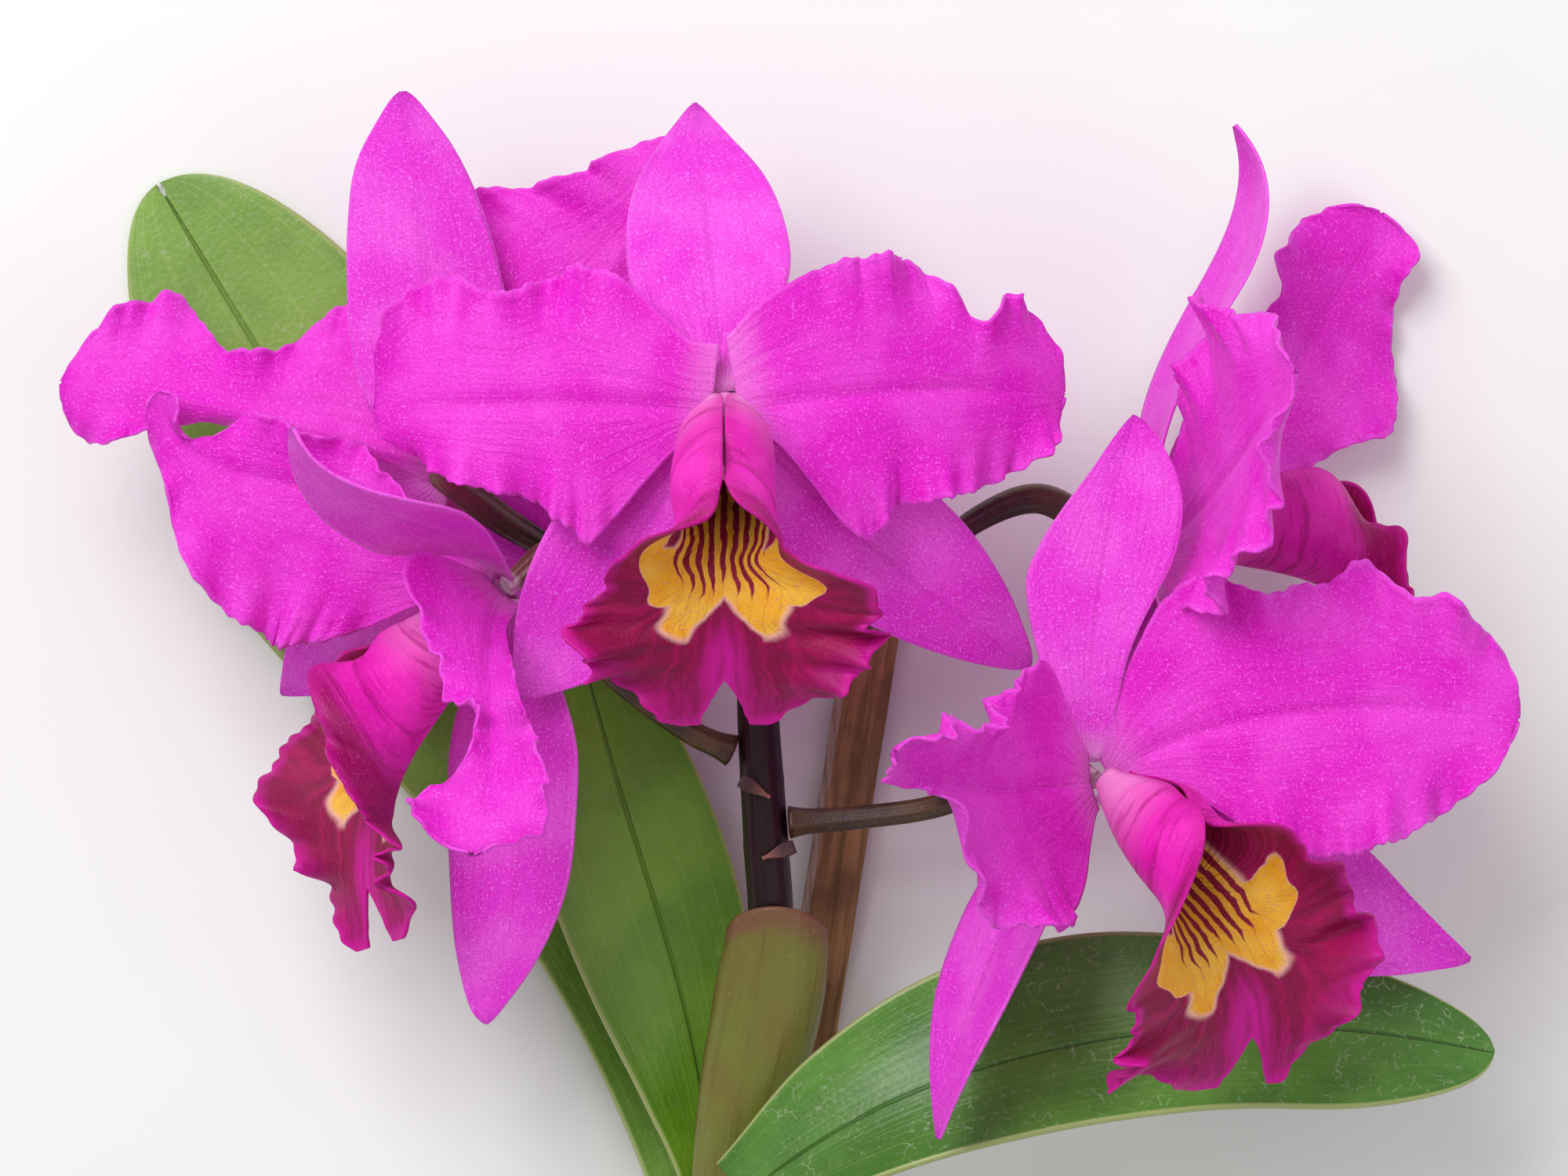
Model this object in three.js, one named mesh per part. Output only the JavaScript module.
// A cut flowering growth of a Cattleya orchid, lying on its back.
// Five flowers stand on short stalks round one upright flower stem, which rises out of a flat green
// sheath between three leathery leaves on top of a pseudobulb. A flat wooden stake lies along the stem.
//
// Units are millimetres. +Z is up, away from the surface the growth lies on, +Y runs from the cut end
// towards the flowers, and the origin is at the middle of the underside of the whole growth.
import * as THREE from "three";

// ---------------------------------------------------------------- driving dimensions
const SEPAL_LENGTH = 74;
const SEPAL_WIDTH = 31;
const PETAL_LENGTH = 78;
const PETAL_WIDTH = 56;
const TEPAL_THICKNESS = 1.0; // sepals and petals, at the midrib
const LIP_LENGTH = 68; // along the floor of the tube and down the apron
const LIP_WIDTH = 58; // edge to edge across the unrolled sheet
const LIP_THICKNESS = 0.9;
const COLUMN_LENGTH = 20;
const COLUMN_WIDTH = 5.5;
const STALK_DIAMETER = 6.2; // stalk and ovary of each flower
const STEM_DIAMETER = 9;
const LEAF_WIDTH = 60;
const LEAF_THICKNESS = 1.8;
const SHEATH_WIDTH = 20;
const SHEATH_WALL = 0.9;
const SHEATH_CLEARANCE = 1.1; // between the stem and the sheath round it
const STAKE_WIDTH = 11;
const STAKE_THICKNESS = 5;
const BULB_DIAMETER = 24;
const BULB_LENGTH = 20;
const BRACT_LENGTH = 9;
const BRACT_WIDTH = 4;
const BRACT_THICKNESS = 0.6;
const BRACT_CLEARANCE = 2.8; // between the stem's skin and the root of a bract
const EDGE_SHARE = 0.55; // a blade's thickness at its edge, as a share of that at its midrib
const GAP = 0.3; // clearance between pieces that touch

const DEGREE = Math.PI / 180;

// ---------------------------------------------------------------- small helpers
const point = (x, y, z) => new THREE.Vector3(x, y, z);

// A value along a blade: a plain number, or a list of equally spaced values joined by a smooth curve.
function along(values, t) {
  if (!Array.isArray(values)) return values;
  const last = values.length - 1;
  const place = Math.min(Math.max(t, 0), 1) * last;
  const i = Math.min(Math.floor(place), last - 1);
  const f = place - i;
  const before = values[Math.max(i - 1, 0)];
  const after = values[Math.min(i + 2, last)];
  const [a, b] = [values[i], values[i + 1]];
  const slopeA = (b - before) / 2;
  const slopeB = (after - a) / 2;
  return a + f * (slopeA + f * (3 * (b - a) - 2 * slopeA - slopeB + f * (slopeA + slopeB - 2 * (b - a))));
}

const smooth = (x) => x * x * (3 - 2 * x);
const clamp01 = (x) => Math.min(Math.max(x, 0), 1);

// Outlines: how wide the left and right halves of a blade are at equally spaced places from its base to
// its tip, as shares of its half-width, and how bluntly the tip closes.
const OUTLINES = {
  sepal: { left: [0.2, 0.66, 0.97, 1, 0.9, 0.62, 0.3], tip: 5 },
  petal: { left: [0.2, 0.5, 0.85, 1, 0.98, 0.86, 0.7], tip: 7 },
  lip: { left: [0.3, 0.6, 0.88, 0.98, 0.96, 0.78, 0.8, 1, 1, 0.85, 0.6], tip: 8 },
  leaf: { left: [0.35, 0.62, 0.85, 0.97, 1, 0.88, 0.6], tip: 7 },
  bract: { left: [0.9, 1, 0.6, 0.25], tip: 4 },
};

// ---------------------------------------------------------------- a blade
// Every sepal, petal, lip, leaf and bract is one blade: a midrib that grows out of `root`, turning in
// the XY plane by `heading` and out of it by `rise` (degrees, along the length), and a cross-section
// that is rolled about the midrib by `roll` and curled into an arc by `cup` (degrees from the midrib to
// each edge, towards the face of the blade; cup = [left, right] lists if the two sides differ).
// `ruffle` waves the edges: [left height, right height, waves, phase] in millimetres and turns.
// `notch` cuts into the middle of the tip, as a share of the length.
const MIDRIB_STEPS = 48;
const NOTCH_REACH = 0.22; // how far a notch reaches to each side, as a share of the half-width

function directionAt(spec, t) {
  const heading = along(spec.heading, t) * DEGREE;
  const rise = along(spec.rise ?? 0, t) * DEGREE;
  return point(Math.cos(rise) * Math.cos(heading), Math.cos(rise) * Math.sin(heading), Math.sin(rise));
}

function midribOf(spec) {
  const stations = [];
  const at = spec.root.clone();
  for (let i = 0; i <= MIDRIB_STEPS; i++) {
    const t = i / MIDRIB_STEPS;
    const heading = along(spec.heading, t) * DEGREE;
    const roll = along(spec.roll ?? 0, t) * DEGREE;
    const tangent = directionAt(spec, t);
    const flatSide = point(-Math.sin(heading), Math.cos(heading), 0);
    const flatFace = tangent.clone().cross(flatSide);
    const side = flatSide.clone().multiplyScalar(Math.cos(roll)).addScaledVector(flatFace, Math.sin(roll));
    const face = tangent.clone().cross(side);
    stations.push({ at: at.clone(), side, face });
    at.addScaledVector(tangent, spec.length / MIDRIB_STEPS);
  }
  return stations;
}

// The cup of the left (v > 0) or right side of a blade.
const cupOf = ({ cup }, v) => (Array.isArray(cup?.[0]) ? cup[v > 0 ? 0 : 1] : cup);

function bladePoint(spec, stations, row, v) {
  const t = row * (1 - (spec.notch ?? 0) * clamp01(1 - Math.abs(v) / NOTCH_REACH));
  const place = clamp01(t) * MIDRIB_STEPS;
  const i = Math.min(Math.floor(place), MIDRIB_STEPS - 1);
  const f = place - i;
  const mix = (key) => stations[i][key].clone().lerp(stations[i + 1][key], f);
  const { left, right = left, tip } = spec.outline;
  const share = along(v > 0 ? left : right, t) * Math.sqrt(1 - t ** tip);
  const half = Math.max((spec.width / 2) * share, spec.thickness * 0.6);
  const cup = along(cupOf(spec, v), t) * DEGREE;
  const turn = cup * Math.abs(v);
  const out = Math.abs(cup) < 1e-3 ? half * Math.abs(v) : (half * Math.sin(turn)) / cup;
  const lift = Math.abs(cup) < 1e-3 ? 0 : (half * (1 - Math.cos(turn))) / cup;
  const [waveLeft, waveRight, waves, phase] = spec.ruffle ?? [0, 0, 1, 0];
  const height = v > 0 ? waveLeft : waveRight;
  const lengthwise = smooth(clamp01((t - 0.15) / 0.35)) * smooth(clamp01((1.02 - t) / 0.12));
  const grows = lengthwise * Math.abs(v) ** 2.5;
  const wave = height * grows * Math.sin(2 * Math.PI * (waves * t + phase + (v > 0 ? 0 : 0.37)));
  return mix("at")
    .addScaledVector(mix("side"), Math.sign(v) * (out - wave * Math.sin(turn)))
    .addScaledVector(mix("face"), lift + wave * Math.cos(turn));
}

// The closed solid of a blade: its sheet, thickened along the sheet's own normal.
function bladeGeometry(spec) {
  const { rows, columns } = spec;
  const stations = midribOf(spec);
  const rowAt = (i) => 1 - (1 - i / rows) ** 1.35; // rows crowd towards the tip, where the outline turns in
  const columnAt = (j) => -1 + (2 * j) / columns;
  const step = 0.01;
  const positions = [];
  for (const skin of [1, -1]) {
    for (let i = 0; i <= rows; i++) {
      for (let j = 0; j <= columns; j++) {
        const [t, v] = [rowAt(i), columnAt(j)];
        const here = bladePoint(spec, stations, t, v);
        const [tA, tB] = [Math.max(t - step, 0), Math.min(t + step, 1)];
        const [vA, vB] = [Math.max(v - 2 * step, -1), Math.min(v + 2 * step, 1)];
        const lengthwise = bladePoint(spec, stations, tB, v).sub(bladePoint(spec, stations, tA, v));
        const crosswise = bladePoint(spec, stations, t, vB).sub(bladePoint(spec, stations, t, vA));
        const normal = lengthwise.cross(crosswise).normalize();
        const thick = spec.thickness * (EDGE_SHARE + (1 - EDGE_SHARE) * Math.sqrt(1 - v * v));
        here.addScaledVector(normal, (skin * thick) / 2);
        positions.push(here.x, here.y, here.z);
      }
    }
  }
  const perRow = columns + 1;
  const perSkin = (rows + 1) * perRow;
  const at = (i, j, skin) => skin * perSkin + i * perRow + j;
  const faces = [];
  const quad = (a, b, c, d) => faces.push(a, b, c, a, c, d);
  for (let i = 0; i < rows; i++) {
    for (let j = 0; j < columns; j++) {
      quad(at(i, j, 0), at(i + 1, j, 0), at(i + 1, j + 1, 0), at(i, j + 1, 0));
      quad(at(i, j, 1), at(i, j + 1, 1), at(i + 1, j + 1, 1), at(i + 1, j, 1));
    }
  }
  for (let i = 0; i < rows; i++) {
    quad(at(i, 0, 0), at(i, 0, 1), at(i + 1, 0, 1), at(i + 1, 0, 0));
    quad(at(i, columns, 0), at(i + 1, columns, 0), at(i + 1, columns, 1), at(i, columns, 1));
  }
  for (let j = 0; j < columns; j++) {
    quad(at(0, j, 0), at(0, j + 1, 0), at(0, j + 1, 1), at(0, j, 1));
    quad(at(rows, j, 0), at(rows, j, 1), at(rows, j + 1, 1), at(rows, j + 1, 0));
  }
  return new THREE.BufferGeometry()
    .setAttribute("position", new THREE.Float32BufferAttribute(positions, 3))
    .setIndex(faces);
}

// ---------------------------------------------------------------- a stalk
// A round rod along a smooth curve through `points`, with a radius for each share of its length.
function stalkGeometry(points, radii, steps, sides) {
  const curve = new THREE.CatmullRomCurve3(points, false, "centripetal");
  const frames = curve.computeFrenetFrames(steps, false);
  const positions = [];
  for (let i = 0; i <= steps; i++) {
    const centre = curve.getPointAt(i / steps);
    const radius = along(radii, i / steps);
    for (let j = 0; j < sides; j++) {
      const angle = (2 * Math.PI * j) / sides;
      const p = centre
        .clone()
        .addScaledVector(frames.normals[i], radius * Math.cos(angle))
        .addScaledVector(frames.binormals[i], radius * Math.sin(angle));
      positions.push(p.x, p.y, p.z);
    }
  }
  const ends = [0, 1].map((end) => {
    const p = curve.getPointAt(end);
    positions.push(p.x, p.y, p.z);
    return (steps + 1) * sides + end;
  });
  const faces = [];
  for (let j = 0; j < sides; j++) {
    const next = (j + 1) % sides;
    for (let i = 0; i < steps; i++) {
      const [a, b, c, d] = [i * sides + j, i * sides + next, (i + 1) * sides + next, (i + 1) * sides + j];
      faces.push(a, b, c, a, c, d);
    }
    faces.push(ends[0], next, j);
    faces.push(ends[1], steps * sides + j, steps * sides + next);
  }
  return new THREE.BufferGeometry()
    .setAttribute("position", new THREE.Float32BufferAttribute(positions, 3))
    .setIndex(faces);
}

// ---------------------------------------------------------------- materials
const matte = (color, roughness) => new THREE.MeshStandardMaterial({ color, roughness, metalness: 0 });
const MATERIALS = {
  sepal: matte("#e445d6", 0.55),
  petal: matte("#e328d2", 0.55),
  lip: matte("#a8055f", 0.5),
  column: matte("#f2d3e6", 0.5),
  stalk: matte("#4a2a22", 0.45),
  stem: matte("#2a1215", 0.4),
  leaf: matte("#4f7a22", 0.4),
  sheath: matte("#6b6326", 0.5),
  bract: matte("#a77c66", 0.6),
  stake: matte("#86644a", 0.7),
  bulb: matte("#5f6b2a", 0.5),
};

const growth = new THREE.Group();

function addMesh(name, geometry, material) {
  const mesh = new THREE.Mesh(geometry, MATERIALS[material]);
  mesh.name = name;
  growth.add(mesh);
  return mesh;
}

// ---------------------------------------------------------------- the stem's line
const STEM_TIP = point(-5.4, -15, 33);
const STEM_PATH = [
  point(-12, -121.5, 20),
  point(-10, -112, 22),
  point(-5.4, -92, 26),
  point(-2.6, -66, 30),
  point(-3.4, -52, 31.5),
  point(-4.3, -38, 32.5),
  point(-5, -27, 33),
  STEM_TIP,
];

// ---------------------------------------------------------------- the flowers
const TEPALS = {
  sepal: {
    length: SEPAL_LENGTH,
    width: SEPAL_WIDTH,
    thickness: TEPAL_THICKNESS,
    outline: OUTLINES.sepal,
    cup: 8,
    rows: 9,
    columns: 4,
  },
  petal: {
    length: PETAL_LENGTH,
    width: PETAL_WIDTH,
    thickness: TEPAL_THICKNESS,
    outline: OUTLINES.petal,
    cup: 10,
    ruffle: [3, 3, 3, 0.1],
    rows: 11,
    columns: 6,
  },
  lip: {
    length: LIP_LENGTH,
    width: LIP_WIDTH,
    thickness: LIP_THICKNESS,
    outline: OUTLINES.lip,
    cup: [150, 160, 168, 168, 166, 130, 48, 24, 15, 10, 8],
    ruffle: [3, 3, 4, 0],
    notch: 0.12,
    rows: 12,
    columns: 10,
  },
};
// How far from the middle of the flower each kind starts.
const ROOT_RADIUS = { sepal: 4.2, petal: 4.2, lip: 1.5 };
// How far each kind stands in front of the ovary's end, along the way the flower faces.
const WHORL = { sepal: 0.2, petal: 0.2 + 2 * TEPAL_THICKNESS, lip: 0.2 + 3.6 * TEPAL_THICKNESS };
const OVARY_LENGTH = 10; // the straight, thicker end of the stalk behind the flower
const OVARY_TIP = 1.6; // how far the ovary's end reaches in between the sepals and petals
const STALK_SHARES = [0.82, 0.74, 0.78, 1, 0.62]; // its radius along its length, as shares of the widest
const COLUMN_SHARES = [0.36, 0.42, 0.5, 0.34]; // the column's radius, as shares of its width
const COLUMN_START = 1.4; // how far up the lip's tube the column begins

// Each flower: where its ovary ends, the way it faces, the stem side of its stalk, and how each of its
// pieces grows.
const FLOWERS = {
  middle: {
    at: point(-11, 34, 78),
    facing: point(0, -0.45, 0.9),
    stalk: [point(-6.5, 0, 34), point(-8, 18, 42), point(-9.5, 32, 57)],
    pieces: {
      dorsal_sepal: { heading: 96, rise: [-12, -34, -48], cup: [0, 12, 10], stretch: 0.95 },
      left_petal: {
        heading: [174, 178, 182, 184],
        rise: [5, -8, -18, -34],
        cup: [5, -5, -5],
        stretch: 0.89,
        outline: {
          left: [0.14, 0.24, 0.52, 1, 0.9, 0.78, 0.72, 0.66, 0.6],
          right: [0.45, 0.42, 0.66, 0.8, 0.86, 0.7, 0.68, 0.68, 0.6],
          tip: 9,
        },
      },
      right_petal: {
        heading: [10, 6, 0, -4],
        rise: [5, -15, -30, -45],
        cup: [5, -5, -5],
        stretch: 0.89,
        outline: {
          left: [0.5, 0.68, 0.85, 0.92, 0.94, 0.78, 0.52, 0.62, 0.6],
          right: [0.14, 0.22, 0.5, 1, 0.9, 0.78, 0.72, 0.68, 0.6],
          tip: 9,
        },
      },
      left_sepal: { heading: [236, 232], rise: [-8, -12, -18], stretch: 0.93 },
      right_sepal: { heading: [-48, -36], rise: [-18, -20, -24], stretch: 1.06 },
      lip: { heading: -90, rise: [52, 46, 38, 28, 12, -12, -30, -38, -45] },
    },
  },
  back_left: {
    at: point(-65, 22, 52),
    facing: point(0, 0.1, -1),
    leavesStemAt: point(-5.2, -23, 33),
    stalk: [point(-23, -5, 37), point(-40, 4.5, 45), point(-54, 13, 53), point(-62, 19, 59)],
    pieces: {
      dorsal_sepal: {
        heading: [97, 96],
        rise: [0, 0, 5],
        roll: 180,
        cup: [0, 12, 10],
        stretch: 0.96,
        outline: { left: [0.3, 0.85, 1, 0.97, 0.85, 0.66, 0.4], tip: 5 },
      },
      left_petal: {
        heading: [161, 168, 171],
        rise: [-5, -5, 0],
        roll: [180, 190, 200],
        outline: {
          left: [0.25, 0.9, 1.05, 0.75, 0.32, 0.3, 0.78, 0.8, 0.6],
          right: [0.1, 0.06, 0.3, 0.4, 0.25, 0.22, 0.3, 0.5, 0.6],
          tip: 9,
        },
      },
      right_petal: {
        heading: [48, 54, 62],
        rise: [-10, -4, 0],
        roll: 180,
        outline: {
          left: [0.15, 0.2, 0.58, 0.8, 0.8, 0.86, 0.8],
          right: [0.15, 0.5, 0.85, 0.8, 0.66, 0.6, 0.5],
          tip: 7,
        },
      },
      left_sepal: { heading: [216, 190], rise: [-50, -38, -18], roll: 180, stretch: 0.92 },
      right_sepal: { heading: [-30, -24], rise: [-25, -28], roll: 180 },
      lip: {
        heading: -88,
        rise: [-60, -54, -40, -18, 6, 18, 18],
        roll: 180,
        cup: [150, 160, 168, 168, 166, 152, 134, 122, 112, 100, 90],
        stretch: 0.84,
      },
    },
  },
  lower_left: {
    at: point(-52, 1, 60),
    facing: point(-0.75, -0.55, 0.35),
    leavesStemAt: point(-4.6, -34.5, 32.7),
    stalk: [point(-18.5, -28, 36), point(-36, -14, 44), point(-41.5, -2, 52)],
    pieces: {
      dorsal_sepal: {
        heading: [122, 150, 162, 156, 138, 104],
        rise: [52, 46, 42, 38, 30],
        roll: -64,
        cup: 14,
        stretch: 0.94,
      },
      left_petal: {
        heading: [147, 152, 155, 168, 150, 100],
        rise: [-14, -6, 0],
        roll: [-30, -10, 0],
        outline: {
          left: [0.12, 0.12, 0.62, 0.95, 1, 0.8, 0.28, 0.14],
          right: [0.1, 0.12, 0.26, 0.35, 0.4, 0.35, 0.25, 0.14],
          tip: 12,
        },
      },
      right_petal: {
        heading: [-105, -92, -84, -92, -106],
        rise: [62, 54, 46, 38],
        roll: [-30, -10, 20],
        cup: 20,
        stretch: 0.95,
        outline: {
          left: [0.15, 0.1, 0.15, 0.3, 0.6, 0.66, 0.6, 0.5],
          right: [0.2, 0.75, 0.55, 0.3, 0.5, 0.7, 0.66, 0.5],
          tip: 7,
        },
      },
      left_sepal: { heading: [196, 214], rise: [-42, -44], roll: -25, stretch: 0.94 },
      right_sepal: { heading: [-84, -90, -96, -108], rise: [-14, 0, 2], roll: 25, stretch: 1.12 },
      lip: {
        heading: [-120, -121, -124, -122, -104, -82, -72],
        rise: [8, 6, 4, 0, 0, 0],
        roll: [95, 95, 92, 82, 62, 52, 50],
        cup: [
          [150, 160, 166, 166, 160, 130, 95, 70, 55, 40, 30],
          [150, 160, 166, 166, 140, 80, 50, 36, 30, 24, 20],
        ],
      },
    },
  },
  upper_right: {
    at: point(70, 7, 38),
    facing: point(0.95, -0.1, 0.2),
    leavesStemAt: point(-5.3, -21, 33),
    stalk: [point(17, -5.3, 33), point(38, 13.5, 34), point(50, 17.5, 34.5), point(58, 13, 35.5)],
    pieces: {
      dorsal_sepal: {
        heading: [92, 80, 64, 62, 86, 126],
        rise: [-10, -4, 0],
        roll: -80,
        cup: 14,
        stretch: 1.12,
      },
      left_petal: {
        heading: [46, 64, 68],
        rise: [62, 57, 50],
        roll: -60,
        cup: 20,
        stretch: 0.84,
      },
      right_petal: {
        heading: [46, 54, 58],
        rise: [-48, -20, -2],
        roll: [20, 12],
        outline: {
          left: [0.15, 0.35, 0.6, 0.82, 0.92, 0.86, 0.7],
          right: [0.12, 0.4, 0.85, 1, 0.98, 0.86, 0.7],
          tip: 7,
        },
      },
      left_sepal: { heading: [-92, -86], rise: [-20, -40], roll: -60, stretch: 0.9 },
      right_sepal: { heading: [-60, -50], rise: [-20, -20], roll: -60 },
      lip: {
        heading: [-14, -10, -14, -30, -50, -80, -95],
        rise: [5, 5, 5, 0, 0, 0],
        roll: -92,
      },
    },
  },
  lower_right: {
    at: point(58, -36, 66),
    facing: point(0.6, -0.35, 0.7),
    leavesStemAt: point(-3.6, -46.3, 31.9),
    stalk: [point(14, -45, 34), point(30, -42.5, 38), point(43, -36.5, 47)],
    pieces: {
      dorsal_sepal: {
        heading: [92, 85, 80, 72],
        rise: [10, 0, -15],
        cup: [0, 10, 8],
        stretch: 0.91,
        outline: { left: [0.24, 0.45, 0.74, 0.95, 1, 0.9, 0.6], tip: 6 },
      },
      left_petal: { heading: [180, 184], rise: [56, 62, 54], roll: 10, cup: 20 },
      right_petal: {
        heading: [31, 13, 0, -10],
        rise: [0, 8, 0, -6],
        cup: [5, 8, 5],
        stretch: 1.03,
        ruffle: [3, 3, 3, 0.85],
        outline: {
          left: [0.1, 0.2, 0.85, 1, 0.98, 0.86, 0.7],
          right: [0.1, 0.4, 0.85, 1, 0.98, 0.86, 0.7],
          tip: 7,
        },
      },
      left_sepal: { heading: [238, 243, 250, 262], rise: [0, 5, 0], roll: 65, stretch: 0.97 },
      right_sepal: { heading: -25, rise: [-12, -12], stretch: 1.1 },
      lip: {
        heading: [-40, -38, -42, -54, -74, -88, -96],
        rise: [36, 32, 26, 10, -10, -26, -36],
        roll: [-48, -48, -42, -26, -15],
      },
    },
  },
};

function addFlower(flower, { at, facing, leavesStemAt, stalk, pieces }) {
  facing.normalize();
  for (const [piece, habit] of Object.entries(pieces)) {
    const kind = piece.split("_").pop();
    const outwards = directionAt(habit, 0).multiplyScalar(ROOT_RADIUS[kind]);
    const root = at.clone().addScaledVector(facing, WHORL[kind]).add(outwards);
    const length = TEPALS[kind].length * (habit.stretch ?? 1);
    const spec = { ...TEPALS[kind], ...habit, root, length };
    addMesh(`${flower}_${piece}`, bladeGeometry(spec), kind);
    if (kind === "lip") addMesh(`${flower}_column`, columnGeometry(spec), "column");
  }
  const ovaryFoot = at.clone().addScaledVector(facing, -OVARY_LENGTH);
  const ovaryTip = at.clone().addScaledVector(facing, OVARY_TIP);
  const radii = STALK_SHARES.map((share) => (share * STALK_DIAMETER) / 2);
  const path = [stalkFoot(leavesStemAt, stalk[0]), ...stalk, ovaryFoot, ovaryTip];
  addMesh(`${flower}_stalk`, stalkGeometry(path, radii, 14, 8), "stalk");
}

// Where a stalk starts so that its end clears the stem: out of the stem's side, or beyond its tip.
function stalkFoot(leavesStemAt, next) {
  const upStem = point(0, 1, 0);
  if (!leavesStemAt) return STEM_TIP.clone().addScaledVector(upStem, 2 * GAP);
  const out = next.clone().sub(leavesStemAt).normalize();
  const cosine = Math.abs(out.dot(upStem));
  const rim = (STALK_SHARES[0] * STALK_DIAMETER * cosine) / 2;
  const distance = (STEM_DIAMETER / 2 + GAP + rim) / Math.sqrt(1 - cosine ** 2);
  return leavesStemAt.clone().addScaledVector(out, distance);
}

// The column stands in the middle of the tube that the lip rolls itself into. Two points a quarter turn
// to either side of the lip's midrib lie across the tube from each other.
function columnGeometry(lip) {
  const stations = midribOf(lip);
  const centres = [0, 0.35, 0.7, 1].map((share) => {
    const t = (COLUMN_START + share * COLUMN_LENGTH) / lip.length;
    const quarter = 90 / along(cupOf(lip, 1), t);
    const centre = bladePoint(lip, stations, t, quarter);
    return centre.add(bladePoint(lip, stations, t, -quarter)).multiplyScalar(0.5);
  });
  const radii = COLUMN_SHARES.map((share) => share * COLUMN_WIDTH);
  return stalkGeometry(centres, radii, 5, 8);
}

for (const [flower, layout] of Object.entries(FLOWERS)) addFlower(flower, layout);

// ---------------------------------------------------------------- leaves
const SHEATH_FOOT = point(-11.4, -119, 20.5);
const SHEATH_DEPTH = STEM_DIAMETER / 2 + SHEATH_CLEARANCE + SHEATH_WALL; // from its middle to its back
const LEAF_STACK = 4.7; // from the middle leaf down to the back leaf under it
const UNDER_SHEATH = SHEATH_FOOT.z - SHEATH_DEPTH - LEAF_THICKNESS / 2 - 1.3 * GAP;
const LEAVES = {
  back_leaf: {
    root: point(-20, -118, UNDER_SHEATH - LEAF_STACK),
    length: 227,
    heading: [108, 121, 121],
    rise: [-6, -1, 0],
    cup: [35, 12, 5],
    outline: {
      left: [0.25, 0.36, 0.55, 0.84, 1.06, 1.02, 0.75],
      right: [0.35, 0.62, 0.85, 0.97, 1, 0.88, 0.6],
      tip: 7,
    },
  },
  middle_leaf: {
    root: point(-14, -119, UNDER_SHEATH),
    length: 112,
    heading: [96, 107, 105],
    rise: [2, 2, -4],
    roll: 8,
    cup: [36, 12, 5],
    width: 40,
  },
  front_leaf: {
    root: point(-8, -119.5, 35),
    length: 153,
    heading: [42, 20, 4, -12],
    rise: [16, 6, 0, 0],
    roll: [-30, -25, -25],
    cup: [40, 20, 10],
    width: 51,
  },
};
for (const [name, habit] of Object.entries(LEAVES)) {
  const { width = LEAF_WIDTH, outline = OUTLINES.leaf } = habit;
  const leaf = { ...habit, width, outline, thickness: LEAF_THICKNESS, rows: 12, columns: 6 };
  addMesh(name, bladeGeometry(leaf), "leaf");
}

// ---------------------------------------------------------------- stem, bracts, sheath, stake and bulb
const STEM_SHARES = [1, 1, 1, 1, 1, 0.95, 0.9];
const stemRadii = STEM_SHARES.map((share) => (share * STEM_DIAMETER) / 2);
addMesh("stem", stalkGeometry(STEM_PATH, stemRadii, 20, 12), "stem");

// Each bract stands off the stem's skin, out from the middle of the stem at the place it sits on.
const BRACTS = {
  upper_bract: {
    sitsOn: point(-4.3, -38, 32.5),
    out: point(-4.2, 0.5, 5.8),
    heading: -30,
    rise: -6,
    roll: -10,
  },
  lower_bract: {
    sitsOn: point(-3.5, -50.5, 31.6),
    out: point(5.7, 0, 4.8),
    heading: 200,
    rise: 6,
    roll: 10,
  },
};
for (const [name, habit] of Object.entries(BRACTS)) {
  const standoff = STEM_DIAMETER / 2 + BRACT_CLEARANCE;
  const root = habit.sitsOn.clone().addScaledVector(habit.out.normalize(), standoff);
  const size = { length: BRACT_LENGTH, width: BRACT_WIDTH, thickness: BRACT_THICKNESS };
  const bract = { ...habit, ...size, root, outline: OUTLINES.bract, cup: 20, rows: 3, columns: 2 };
  addMesh(name, bladeGeometry(bract), "bract");
}

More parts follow.
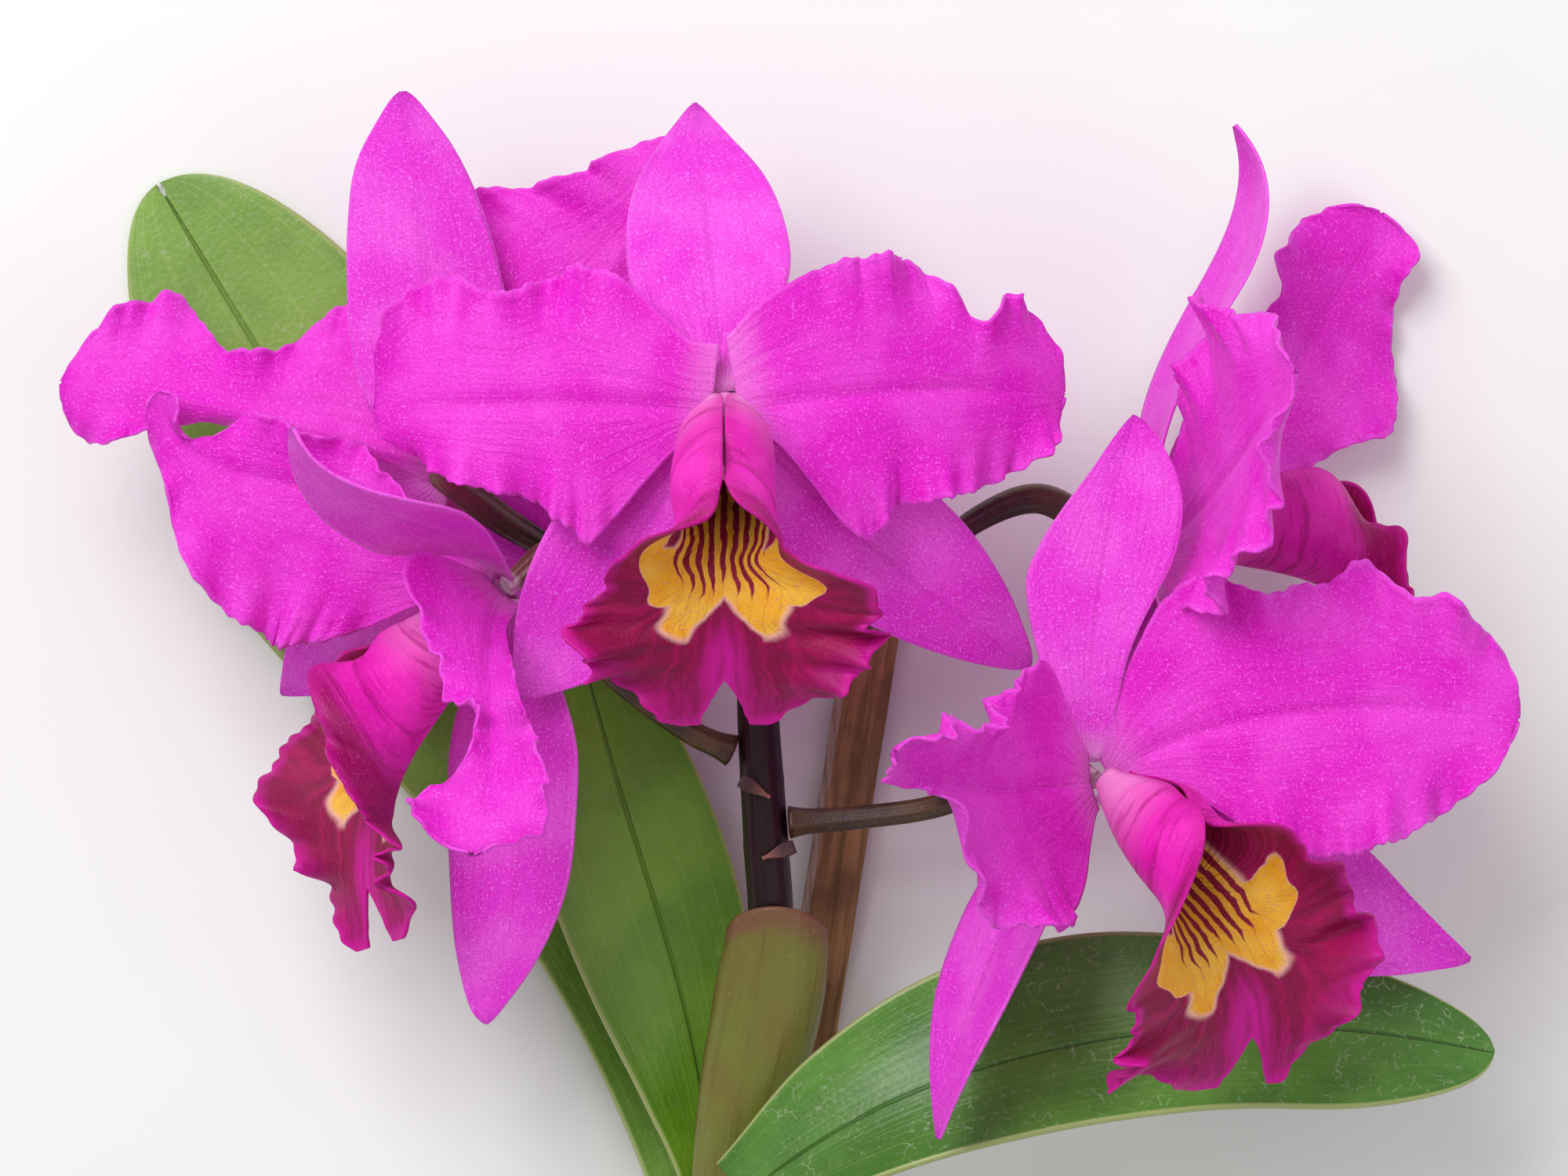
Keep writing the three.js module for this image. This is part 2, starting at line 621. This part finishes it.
// The sheath is a flattened tube round the foot of the stem, open at its top.
const SHEATH_PATH = [
  SHEATH_FOOT,
  point(-10, -112.5, 22),
  point(-6.5, -97, 25.3),
  point(-3.2, -82, 27.8),
  point(-1.4, -68, 29.8),
  point(-1, -61.5, 30.6),
];
const SHEATH_SHARES = [0.7, 0.86, 1, 1.02, 0.98, 0.88]; // its width from foot to mouth
function sheathGeometry(steps, sides) {
  const curve = new THREE.CatmullRomCurve3(SHEATH_PATH, false, "centripetal");
  const up = point(0, 0, 1);
  const positions = [];
  for (const inset of [0, SHEATH_WALL]) {
    for (let i = 0; i <= steps; i++) {
      const t = i / steps;
      const centre = curve.getPoint(t);
      const across = curve.getTangent(t).cross(up).normalize();
      const front = across.clone().cross(curve.getTangent(t)).normalize();
      const halfWidth = (SHEATH_WIDTH / 2) * along(SHEATH_SHARES, t) - inset;
      const halfDepth = SHEATH_DEPTH - inset;
      for (let j = 0; j < sides; j++) {
        const angle = (2 * Math.PI * j) / sides;
        const p = centre
          .clone()
          .addScaledVector(across, halfWidth * Math.cos(angle))
          .addScaledVector(front, halfDepth * Math.sin(angle));
        positions.push(p.x, p.y, p.z);
      }
    }
  }
  const at = (skin, i, j) => (skin * (steps + 1) + i) * sides + (j % sides);
  const faces = [];
  const quad = (a, b, c, d) => faces.push(a, b, c, a, c, d);
  for (let j = 0; j < sides; j++) {
    for (let i = 0; i < steps; i++) {
      quad(at(0, i, j), at(0, i + 1, j), at(0, i + 1, j + 1), at(0, i, j + 1));
      quad(at(1, i, j), at(1, i, j + 1), at(1, i + 1, j + 1), at(1, i + 1, j));
    }
    quad(at(0, 0, j), at(0, 0, j + 1), at(1, 0, j + 1), at(1, 0, j));
    quad(at(0, steps, j), at(1, steps, j), at(1, steps, j + 1), at(0, steps, j + 1));
  }
  return new THREE.BufferGeometry()
    .setAttribute("position", new THREE.Float32BufferAttribute(positions, 3))
    .setIndex(faces);
}
addMesh("sheath", sheathGeometry(10, 16), "sheath");

const STAKE_TOP = point(19, -1, 3);
const STAKE_FOOT = point(0.5, -119, 3);
const stakeLine = STAKE_TOP.clone().sub(STAKE_FOOT);
const stakeBar = new THREE.BoxGeometry(STAKE_WIDTH, stakeLine.length(), STAKE_THICKNESS);
const stake = addMesh("stake", stakeBar, "stake");
stake.position.copy(STAKE_FOOT).addScaledVector(stakeLine, 0.5);
stake.quaternion.setFromUnitVectors(point(0, 1, 0), stakeLine.clone().normalize());

// The top of the pseudobulb, cut across below its leaves.
const BULB_TOP = point(-13, -123.5, 16);
const bulbProfile = [
  [0, 0],
  [0.62, 0],
  [0.86, 0.16],
  [1, 0.5],
  [0.94, 1],
  [0, 1],
].map(([radius, share]) => new THREE.Vector2((radius * BULB_DIAMETER) / 2, share * BULB_LENGTH));
const bulb = addMesh("bulb", new THREE.LatheGeometry(bulbProfile, 20), "bulb");
bulb.rotation.x = Math.PI;
bulb.position.copy(BULB_TOP);

// The growth rests on the surface with the middle of its underside at the origin.
growth.updateMatrixWorld(true);
const bounds = new THREE.Box3().setFromObject(growth, true);
const middle = bounds.getCenter(point(0, 0, 0));
growth.position.set(-middle.x, -middle.y, -bounds.min.z);

export default growth;
